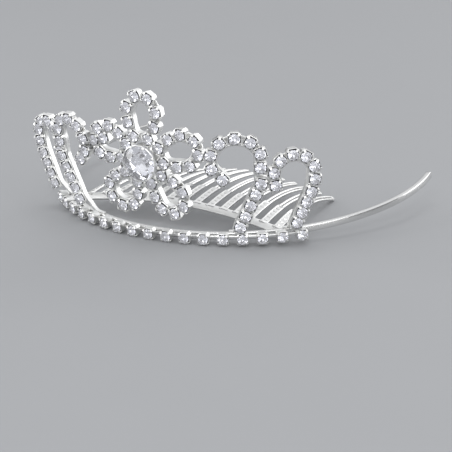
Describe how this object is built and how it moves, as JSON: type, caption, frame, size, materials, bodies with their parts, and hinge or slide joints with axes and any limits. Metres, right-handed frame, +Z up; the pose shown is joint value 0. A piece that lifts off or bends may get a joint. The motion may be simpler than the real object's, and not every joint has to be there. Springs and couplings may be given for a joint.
{
  "type": "tiara",
  "caption": "Silver tiara with a flower and scrolls of clear round stones on a flat band, and a hair comb of hairpin teeth behind it.",
  "frame": {"origin": "on the surface it stands on, under the middle of its box", "axes": "+Z up, -Y out of the front of the flower, +X towards the tiara's right as seen from the front"},
  "size_m": [0.1406, 0.1058, 0.0519],
  "materials": {
    "silver": "bright silver plate",
    "stones": "clear cut glass with a foiled back",
    "crystal": "clear cut glass"
  },
  "bodies": {
    "root": {"band": "silver", "comb": "silver", "base_row": "silver", "base_row_stones": "stones", "petal_top": "silver", "petal_top_stones": "stones", "petal_right": "silver", "petal_right_stones": "stones", "petal_lower_right": "silver", "petal_lower_right_stones": "stones", "petal_lower_left": "silver", "petal_lower_left_stones": "stones", "petal_left": "silver", "petal_left_stones": "stones", "centre_setting": "silver", "centre_crystal": "crystal", "scroll_big_right": "silver", "scroll_big_right_stones": "stones", "scroll_big_left": "silver", "scroll_big_left_stones": "stones", "scroll_small_right": "silver", "scroll_small_right_stones": "stones", "scroll_small_left": "silver", "scroll_small_left_stones": "stones"}
  },
  "joints": []
}
